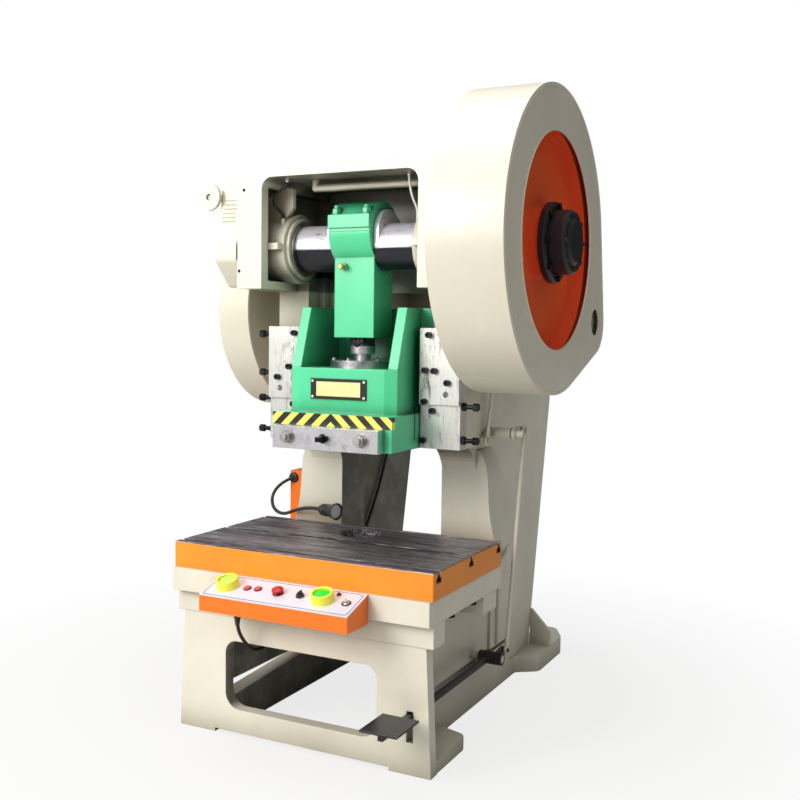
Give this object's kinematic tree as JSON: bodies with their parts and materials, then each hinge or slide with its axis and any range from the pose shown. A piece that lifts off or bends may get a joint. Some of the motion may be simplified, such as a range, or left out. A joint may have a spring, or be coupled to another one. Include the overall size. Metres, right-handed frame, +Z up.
{
  "type": "mechanical stamping press",
  "caption": "Open-front C-frame mechanical stamping press with geared crank drive, guided ram, slotted table, foot pedal and control panel.",
  "frame": {"origin": "on the floor, in the middle of the four anchor bolts", "axes": "+X to the operator's right, towards the gear guard; +Y from the operator to the back; +Z up"},
  "size_m": [1.438, 1.78, 2.2079],
  "materials": {
    "cream": "semi-gloss cream enamel",
    "green": "gloss green enamel",
    "orange": "gloss orange enamel",
    "gear_red": "semi-gloss orange-red enamel",
    "black_paint": "semi-gloss black enamel",
    "machined_steel": "machined, lightly oiled",
    "table_iron": "ground top, orange painted edge",
    "dark_bolts": "blackened",
    "bronze": "turned",
    "plate": "blank rating plate, black border",
    "panel": "satin panel",
    "grey_paint": "hammered grey",
    "belt_rubber": "matt",
    "cable_rubber": "matt",
    "yellow_plastic": "gloss",
    "green_plastic": "gloss",
    "red_plastic": "gloss",
    "black_plastic": "matt",
    "friction": "brake lining on steel band"
  },
  "bodies": {
    "frame": {"c_frame": "cream", "base_frame": "cream", "bolster": "table_iron", "bolster_bolts": "dark_bolts", "gib_left": "machined_steel", "gib_right": "machined_steel", "gib_screws": "dark_bolts", "gib_adjusters": "dark_bolts", "bearing_bushes": "bronze", "gear_guard": "cream", "flywheel_guard": "cream", "brake_cover": "cream", "brake_band": "friction", "brake_adjuster": "cream", "motor": "grey_paint", "motor_plate": "cream", "drive_belts": "belt_rubber", "control_box": "orange", "panel_plate": "panel", "palm_guards": "yellow_plastic", "pilot_lamps": "red_plastic", "control_cable": "cable_rubber", "lamp_arm": "black_plastic", "lamp_head": "black_paint", "cabinet": "orange", "oil_pipes": "black_plastic", "rocker_bearing": "cream", "throat_cable": "cable_rubber"},
    "crank": {"crankshaft": "machined_steel", "brake_drum": "machined_steel", "crank_end_cap": "black_paint"},
    "gear": {"main_gear": "gear_red", "clutch_flange": "black_paint", "clutch_bolts": "dark_bolts"},
    "back_shaft": {"countershaft": "machined_steel", "pinion": "machined_steel", "flywheel": "grey_paint"},
    "motor_rotor": {"motor_pulley": "machined_steel"},
    "rod": {"pitman": "green", "pitman_cap": "green", "pitman_bolts": "green", "ball_screw": "machined_steel", "oil_nipple": "bronze"},
    "ram": {"slide": "green", "die_clamp": "machined_steel", "clamp_screws": "dark_bolts", "nameplate": "plate", "ball_cap": "machined_steel"},
    "knockout": {"knockout_bar": "machined_steel"},
    "pedal": {"pedal_lever": "black_paint"},
    "rear_rod": {"rear_pull_rod": "cream"},
    "rocker": {"rocker_shaft": "cream"},
    "upper_rod": {"upper_pull_rod": "cream"},
    "latch": {"clutch_latch": "machined_steel"},
    "palm_left": {"palm_button_left": "green_plastic"},
    "palm_right": {"palm_button_right": "green_plastic"},
    "stop": {"stop_button": "red_plastic"},
    "selector": {"selector_knob": "black_plastic"},
    "key": {"key_switch": "machined_steel"},
    "door": {"cabinet_door": "orange"}
  },
  "joints": [
    {"name": "gear_spin", "type": "hinge", "parent": "frame", "child": "gear", "pos_m": [0, -0.337, 1.7], "axis": [-1, 0, 0], "continuous": true},
    {"name": "back_shaft_spin", "type": "hinge", "parent": "frame", "child": "back_shaft", "pos_m": [0, 0.1064, 1.444], "axis": [-1, 0, 0], "continuous": true},
    {"name": "motor_spin", "type": "hinge", "parent": "frame", "child": "motor_rotor", "pos_m": [0, 0.47, 1.812], "axis": [-1, 0, 0], "continuous": true},
    {"name": "crank_turn", "type": "hinge", "parent": "frame", "child": "crank", "pos_m": [0, -0.337, 1.7], "axis": [-1, 0, 0], "range_deg": [0, 180]},
    {"name": "rod_swing", "type": "hinge", "parent": "crank", "child": "rod", "pos_m": [0, -0.337, 1.75], "axis": [-1, 0, 0], "range_deg": [-180, 0]},
    {"name": "ram_stroke", "type": "slide", "parent": "frame", "child": "ram", "axis": [0, 0, -1], "range_m": [0, 0.1]},
    {"name": "knockout_lift", "type": "slide", "parent": "ram", "child": "knockout", "axis": [0, 0, 1], "range_m": [0, 0.025]},
    {"name": "pedal_press", "type": "hinge", "parent": "frame", "child": "pedal", "pos_m": [0, -0.093, 0.194], "axis": [1, 0, 0], "range_deg": [0, 6], "stiffness_Nm_per_rad": 200, "springref_deg": -17.19},
    {"name": "rear_rod_lift", "type": "slide", "parent": "frame", "child": "rear_rod", "axis": [0, 0, 1], "range_m": [0, 0.0067]},
    {"name": "rocker_turn", "type": "hinge", "parent": "frame", "child": "rocker", "pos_m": [0, -0.08, 1.035], "axis": [1, 0, 0], "range_deg": [0, 6.2]},
    {"name": "upper_rod_pull", "type": "slide", "parent": "frame", "child": "upper_rod", "axis": [0, 0, -1], "range_m": [0, 0.0076]},
    {"name": "latch_trip", "type": "hinge", "parent": "frame", "child": "latch", "pos_m": [0, -0.168, 1.565], "axis": [-1, 0, 0], "range_deg": [0, 6.5]},
    {"name": "palm_left_press", "type": "slide", "parent": "frame", "child": "palm_left", "axis": [0, 0.2972, -0.9548], "range_m": [0, 0.006], "stiffness_N_per_m": 500, "springref_m": -0.004},
    {"name": "palm_right_press", "type": "slide", "parent": "frame", "child": "palm_right", "axis": [0, 0.2972, -0.9548], "range_m": [0, 0.006], "stiffness_N_per_m": 500, "springref_m": -0.004},
    {"name": "stop_press", "type": "slide", "parent": "frame", "child": "stop", "axis": [0, 0.2972, -0.9548], "range_m": [0, 0.006], "stiffness_N_per_m": 500, "springref_m": -0.004},
    {"name": "selector_turn", "type": "hinge", "parent": "frame", "child": "selector", "pos_m": [0.07, -0.86206, 0.55267], "axis": [0, -0.2972, 0.9548], "range_deg": [-45, 45]},
    {"name": "key_turn", "type": "hinge", "parent": "frame", "child": "key", "pos_m": [0.239, -0.86206, 0.55267], "axis": [0, -0.2972, 0.9548], "range_deg": [0, 90]},
    {"name": "door_swing", "type": "hinge", "parent": "frame", "child": "door", "pos_m": [-0.565, 0.466, 0.534], "axis": [0, 0, -1], "range_deg": [0, 110]}
  ],
  "couplings": [
    {"joint": "back_shaft_spin", "follows": "gear_spin", "ratio": -5.4},
    {"joint": "motor_spin", "follows": "gear_spin", "ratio": -27},
    {"joint": "rod_swing", "follows": "crank_turn", "ratio": -1},
    {"joint": "ram_stroke", "follows": "crank_turn", "m_per_rad": 0.03183},
    {"joint": "rear_rod_lift", "follows": "pedal_press", "m_per_rad": 0.063},
    {"joint": "rocker_turn", "follows": "pedal_press", "ratio": 1.016},
    {"joint": "upper_rod_pull", "follows": "pedal_press", "m_per_rad": 0.0715},
    {"joint": "latch_trip", "follows": "pedal_press", "ratio": 1.05}
  ]
}
